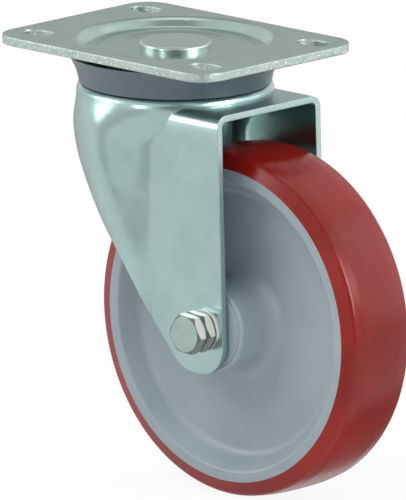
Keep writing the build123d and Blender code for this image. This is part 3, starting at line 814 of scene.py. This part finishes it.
@dataclass(frozen=True)
class HexHead:
    """A hexagon head with a round neck below it, and both its faces chamfered."""

    across_flats: float = 17.0 * MM
    face_ratio: float = 0.95
    neck_ratio: float = 0.84
    neck_height: float = 1.4 * MM
    chamfer: float = math.radians(30.0)
    turn: float = math.radians(-5.0)
    steps: int = 120

    def corner_reach(self, angle: float) -> float:
        """The hexagon's distance from its axis at an angle from +X towards +Z."""
        sixth = math.pi / 3
        return self.across_flats / 2 / math.cos((angle - self.turn) % sixth - sixth / 2)

    def rings(self, outer: float, inner: float) -> list[list[Point]]:
        """Rings of points round the axis, from the head's flat face to the neck's end.

        Args:
            outer: Y of the head's flat face.
            inner: Y where the neck ends.

        Returns:
            One list of points for each ring, with X and Z measured from the axis.
        """
        angles = [2 * math.pi * step / self.steps for step in range(self.steps)]
        corners = [self.corner_reach(angle) for angle in angles]
        face = self.across_flats / 2 * self.face_ratio
        neck = self.across_flats / 2 * self.neck_ratio
        under = inner - self.neck_height
        drop = [(corner - face) * math.tan(self.chamfer) for corner in corners]

        def ring(reach: list[float], level: list[float]) -> list[Point]:
            """One ring, from each point's distance from the axis and its Y."""
            return [(out * math.cos(angle), y, out * math.sin(angle))
                    for angle, out, y in zip(angles, reach, level)]

        def circle(radius: float, level: float) -> list[Point]:
            """A round ring at one level."""
            return ring([radius] * self.steps, [level] * self.steps)

        return [circle(face, outer),
                ring(corners, [outer + fall for fall in drop]),
                ring(corners, [under - fall for fall in drop]),
                circle(face, under),
                circle(neck, under),
                circle(neck, inner)]

    def mesh(self, name: str, axis: tuple[float, float], outer: float, inner: float) -> bpy.types.Mesh:
        """The head as a closed mesh.

        Args:
            name: The mesh's name.
            axis: X and Z of the bolt's axis.
            outer: Y of the head's flat face.
            inner: Y where the neck ends.

        Returns:
            The mesh, with its faces turned outwards.
        """
        rings = self.rings(outer, inner)
        points = [(x + axis[0], y, z + axis[1]) for ring in rings for x, y, z in ring]
        count = self.steps
        faces = [tuple(range(count)), tuple(reversed(range(len(points) - count, len(points))))]
        for level in range(len(rings) - 1):
            for step in range(count):
                here, after = level * count + step, level * count + (step + 1) % count
                faces.append((after, here, here + count, after + count))
        mesh = bpy.data.meshes.new(name)
        mesh.from_pydata(points, [], faces)
        skin = bmesh.new()
        skin.from_mesh(mesh)
        bmesh.ops.recalc_face_normals(skin, faces=skin.faces)
        skin.to_mesh(mesh)
        skin.free()
        return mesh


@dataclass(frozen=True)
class ThreadedBolt:
    """The axle bolt with its neck and its thread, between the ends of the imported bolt."""

    shape: HexHead = HexHead()
    name: str = "threaded_axle_bolt"
    pitch: float = 1.5 * MM
    major: float = 5.0 * MM
    thread_length: float = 26.0 * MM
    head_depth: float = 6.4 * MM
    overlap: float = 0.5 * MM
    sharp: float = math.radians(28.0)

    def build(self, material: bpy.types.Material) -> None:
        """Makes the bolt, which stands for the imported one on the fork.

        Args:
            material: The fasteners' finish.
        """
        low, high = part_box("axle_bolt")
        axis = ((low[0] + high[0]) / 2, (low[2] + high[2]) / 2)
        under = low[1] + self.head_depth
        bolt = bpy.data.objects.new(self.name, self.shape.mesh(self.name, axis, low[1], under))
        bpy.context.scene.collection.objects.link(bolt)
        values = {"Shank Start": under - self.overlap, "Thread Start": high[1] - self.thread_length,
                  "Tip": high[1], "Major Radius": self.major, "Pitch": self.pitch,
                  "Axis X": axis[0], "Axis Z": axis[1], "Material": material}
        rod = bolt.modifiers.new("rod", "NODES")
        rod.node_group = ThreadTree().tree
        for item in rod.node_group.interface.items_tree:
            if item.in_out == "INPUT" and item.name in values:
                rod[item.identifier] = values[item.name]
        done = bpy.data.meshes.new_from_object(bolt.evaluated_get(bpy.context.evaluated_depsgraph_get()))
        bolt.modifiers.remove(rod)
        bolt.data = done
        done.shade_smooth()
        done.set_sharp_from_angle(angle=self.sharp)
        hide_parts("axle_bolt")
        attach(bolt, "fork")
        log.info("piece  %-20s %d faces", self.name, len(done.polygons))


# ------------------------------------------------------------------ sub-assemblies
def dress(node: str, material: bpy.types.Material) -> None:
    """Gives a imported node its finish, in every slot that it has.

    Args:
        node: The node's name.
        material: The finish.
    """
    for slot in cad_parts[node].material_slots:
        slot.material = material
    log.info("finish %-20s %s", node, material.name)


@dataclass(frozen=True)
class SwivelHead:
    """Top plate, kingpin, race cup and balls, and the dust seal round them."""

    plate: PressedZinc = PressedZinc(light=srgb(178, 197, 192), deep=srgb(170, 189, 184))
    pin: GroundSteel = GroundSteel(srgb(182, 196, 192), roughness=0.26, stain=0.96, grain=0.01)
    steel: GroundSteel = GroundSteel()
    seal: MouldedPlastic = MouldedPlastic(srgb(102, 115, 124), srgb(92, 106, 115), roughness=0.34)
    dish_rim: float = 51.0 * MM

    def build(self) -> None:
        """Dresses each node of the head."""
        dress("top_plate", self.plate.make("plated plate", EdgeMask(self.dish_rim)))
        dress("kingpin", self.pin.make("plated pin"))
        steel = self.steel.make("oiled bearing steel")
        for node in ("lower_race_cup", "upper_balls", "lower_balls"):
            dress(node, steel)
        dress("dust_seal", self.seal.make("grey seal plastic"))


@dataclass(frozen=True)
class ForkAssembly:
    """The pressed fork and the hardware on its axle."""

    sheet: PressedZinc = PressedZinc(tear=0.25, shoulder=Shoulder())
    fastener: FastenerZinc = FastenerZinc()
    steel: GroundSteel = GroundSteel()
    insert: MouldedPlastic = NYLON
    bolt: ThreadedBolt = ThreadedBolt()
    front: float = 55.0 * MM

    def build(self) -> None:
        """Dresses each node of the fork and makes the threaded bolt."""
        dress("fork", self.sheet.make("plated fork", FrontEdgeMask(self.front)))
        bright = self.fastener.make("plated fastener")
        for node in ("axle_bolt", "jam_nut", "head_washer", "nut_washer", "lock_nut"):
            dress(node, bright)
        self.bolt.build(bright)
        dress("lock_nut_insert", self.insert.make("nylon insert"))
        dress("axle_tube", self.steel.make("axle tube steel"))


@dataclass(frozen=True)
class Wheel:
    """Tyre, core, hub covers and the roller bearing."""

    tread: CastUrethane = CastUrethane()
    core: MouldedPlastic = MouldedPlastic(srgb(159, 172, 178), srgb(151, 165, 172), roughness=0.30)
    steel: GroundSteel = GroundSteel()
    cage: MouldedPlastic = NYLON

    def build(self) -> None:
        """Dresses each node of the wheel."""
        dress("tyre", self.tread.make("red polyurethane"))
        core = self.core.make("grey core plastic")
        for node in ("wheel_core", "hub_cover_near", "hub_cover_far"):
            dress(node, core)
        steel = self.steel.make("roller steel")
        dress("bearing_sleeve", steel)
        dress("rollers", steel)
        dress("roller_cage", self.cage.make("nylon cage"))


# ------------------------------------------------------------------ studio
@dataclass(frozen=True)
class Panel:
    """One bright or dark patch of the studio, as the metal sees it.

    Attributes:
        azimuth: Where it lies, in degrees from +X towards +Y.
        elevation: Where it lies, in degrees above the level.
        spread: Its radius in degrees.
        fade: How many degrees beyond that it fades over.
        level: What it adds to the even light, below zero for a dark patch.
        tint: Its share of that level in each colour.
    """

    azimuth: float
    elevation: float
    spread: float
    fade: float
    level: float
    tint: Colour = WHITE


@dataclass(frozen=True)
class Lamp:
    """One soft square lamp, with its place in degrees and its power in watts."""

    name: str
    azimuth: float
    elevation: float
    size: float
    power: float


@dataclass(frozen=True)
class Studio:
    """Camera, floor, lamps, and the surroundings that the metal shows.

    Attributes:
        right_azimuth: Where the picture's right-hand side points, in degrees from +X towards +Y.
        view_elevation: How far the camera stands above the level, in degrees.
        pixels_per_metre: The picture's scale.
        axis_column: The picture's column in which the swivel axis stands.
        axis_row: The picture's row in which axis_level lies on that axis.
    """

    right_azimuth: float = 43.69
    view_elevation: float = 12.84
    pixels_per_metre: float = 2200.0
    frame_width: int = 406
    frame_height: int = 500
    axis_column: float = 175.5
    axis_row: float = 221.75
    axis_level: float = -85.7 * MM
    distance: float = 8.0
    clip_end: float = 100.0
    floor_size: float = 6.0
    floor_colour: Colour = (0.88, 0.88, 0.88)
    floor_glow: float = 0.92
    diffuse_level: float = 0.43
    base_level: float = 0.89
    darkest_level: float = 0.05
    lamp_target: Point = (0.02, 0.0, -0.1)
    lamp_distance: float = 1.6
    lamps: tuple[Lamp, ...] = (
        Lamp("key", 235, 52, 1.2, 14.0),
        Lamp("fill", 330, 25, 1.4, 3.6),
        Lamp("back", 80, 40, 1.2, 9.0),
        Lamp("front", 18, 30, 0.7, 2.8),
    )
    panels: tuple[Panel, ...] = (
        Panel(225, 21, 10, 8, 2.8),
        Panel(207, 20, 6, 7, 0.8),
        Panel(52, 22, 18, 10, 0.7),
        Panel(12, 24, 12, 8, 7.0),
        Panel(272, 11, 3, 4, 9.0),
        Panel(259, -10, 17, 11, -0.22),
        Panel(205, -14, 7, 8, 0.08),
        Panel(168, -12, 11, 8, -0.16),
        Panel(134, 13, 12, 7, -0.34, (1.0, 0.95, 0.97)),
        Panel(134, 46, 15, 6, -0.42),
        Panel(134, 76, 8, 8, 0.8),
        Panel(142, -14, 14, 8, -0.30),
        Panel(316, 8, 16, 10, -0.62),
        Panel(314, 73, 15, 9, -0.42),
        Panel(88, -50, 18, 10, -0.60),
    )

    def build(self) -> None:
        """Sets up everything round the castor."""
        self.set_camera()
        self.lay_floor()
        for lamp in self.lamps:
            self.hang(lamp)
        self.set_world()
        bpy.context.scene.view_settings.view_transform = "Standard"

    def set_camera(self) -> None:
        """Stands a long-lensed camera where the castor fills the frame."""
        turn, rise = math.radians(self.right_azimuth), math.radians(self.view_elevation)
        right = Vector((math.cos(turn), math.sin(turn), 0))
        back = Vector((math.sin(turn) * math.cos(rise), -math.cos(turn) * math.cos(rise), math.sin(rise)))
        up = back.cross(right)
        across = (self.frame_width / 2 - self.axis_column) / self.pixels_per_metre
        down = (self.frame_height / 2 - self.axis_row) / self.pixels_per_metre
        target = Vector((0, 0, self.axis_level)) + right * across - up * down
        data = bpy.data.cameras.new("camera")
        data.sensor_fit = "AUTO"
        data.lens = self.distance * self.pixels_per_metre / self.frame_height * data.sensor_width
        data.clip_end = self.clip_end
        camera = bpy.data.objects.new("camera", data)
        turned = Matrix((right, up, back)).transposed().to_4x4()
        camera.matrix_world = Matrix.Translation(target + back * self.distance) @ turned
        bpy.context.scene.collection.objects.link(camera)
        bpy.context.scene.camera = camera

    def lay_floor(self) -> None:
        """Lays a plain pale floor under the wheel; it catches the shadow and stays out of reflections."""
        level = min(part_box(node)[0][2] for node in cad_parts)
        half = self.floor_size / 2
        corners = [(-half, -half, level), (half, -half, level), (half, half, level), (-half, half, level)]
        mesh = bpy.data.meshes.new("floor")
        mesh.from_pydata(corners, [], [(0, 1, 2, 3)])
        floor = bpy.data.objects.new("floor", mesh)
        bpy.context.scene.collection.objects.link(floor)
        floor.visible_glossy = False
        material = bpy.data.materials.new("pale floor")
        material.use_nodes = True
        material.node_tree.nodes.clear()
        graph = Graph(material.node_tree)
        paint = graph.add("ShaderNodeBsdfDiffuse", {"Color": self.floor_colour}).outputs[0]
        glow = graph.add("ShaderNodeEmission", {"Color": WHITE, "Strength": 1.0}).outputs[0]
        seen = graph.add("ShaderNodeLightPath").outputs["Is Camera Ray"]
        share = graph.maths("MULTIPLY", seen, self.floor_glow)
        blend = graph.add("ShaderNodeMixShader", {0: share, 1: paint, 2: glow}).outputs[0]
        graph.add("ShaderNodeOutputMaterial", {"Surface": blend})
        mesh.materials.append(material)

    def hang(self, lamp: Lamp) -> None:
        """Hangs one lamp, which reflections leave out because the panels stand for it.

        Args:
            lamp: The lamp.
        """
        data = bpy.data.lights.new(lamp.name, "AREA")
        data.shape = "SQUARE"
        data.size = lamp.size
        data.energy = lamp.power
        away = direction(lamp.azimuth, lamp.elevation)
        light = bpy.data.objects.new(lamp.name, data)
        light.location = Vector(self.lamp_target) + away * self.lamp_distance
        light.rotation_euler = away.to_track_quat("Z", "Y").to_euler()
        light.visible_glossy = False
        bpy.context.scene.collection.objects.link(light)

    def set_world(self) -> None:
        """A white background; an even soft light; and panels that only reflections see."""
        world = bpy.data.worlds.new("studio")
        world.use_nodes = True
        world.node_tree.nodes.clear()
        graph = Graph(world.node_tree)
        ray = graph.add("ShaderNodeTexCoord").outputs["Generated"]
        shine: Source = dimmed(WHITE, self.base_level)
        for panel in self.panels:
            towards = tuple(direction(panel.azimuth, panel.elevation))
            facing = graph.vector("DOT_PRODUCT", ray, towards, output="Value")
            inner = math.cos(math.radians(panel.spread))
            outer = math.cos(math.radians(panel.spread + panel.fade))
            level = graph.ramp(facing, outer, inner, 0.0, panel.level)
            shine = graph.vector("MULTIPLY_ADD", panel.tint, level, shine)
        shine = graph.vector("MAXIMUM", shine, dimmed(WHITE, self.darkest_level))
        path = graph.add("ShaderNodeLightPath").outputs
        colour = graph.mix(path["Is Glossy Ray"], dimmed(WHITE, self.diffuse_level), shine)
        colour = graph.mix(path["Is Camera Ray"], colour, WHITE)
        background = graph.add("ShaderNodeBackground", {"Color": colour, "Strength": 1.0}).outputs[0]
        graph.add("ShaderNodeOutputWorld", {"Surface": background})
        bpy.context.scene.world = world


def main() -> None:
    """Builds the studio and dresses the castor."""
    logging.basicConfig(level=logging.INFO, format="%(name)s: %(message)s")
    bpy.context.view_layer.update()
    for part in (Studio(), SwivelHead(), ForkAssembly(), Wheel()):
        part.build()


if __name__ == "__main__":
    main()
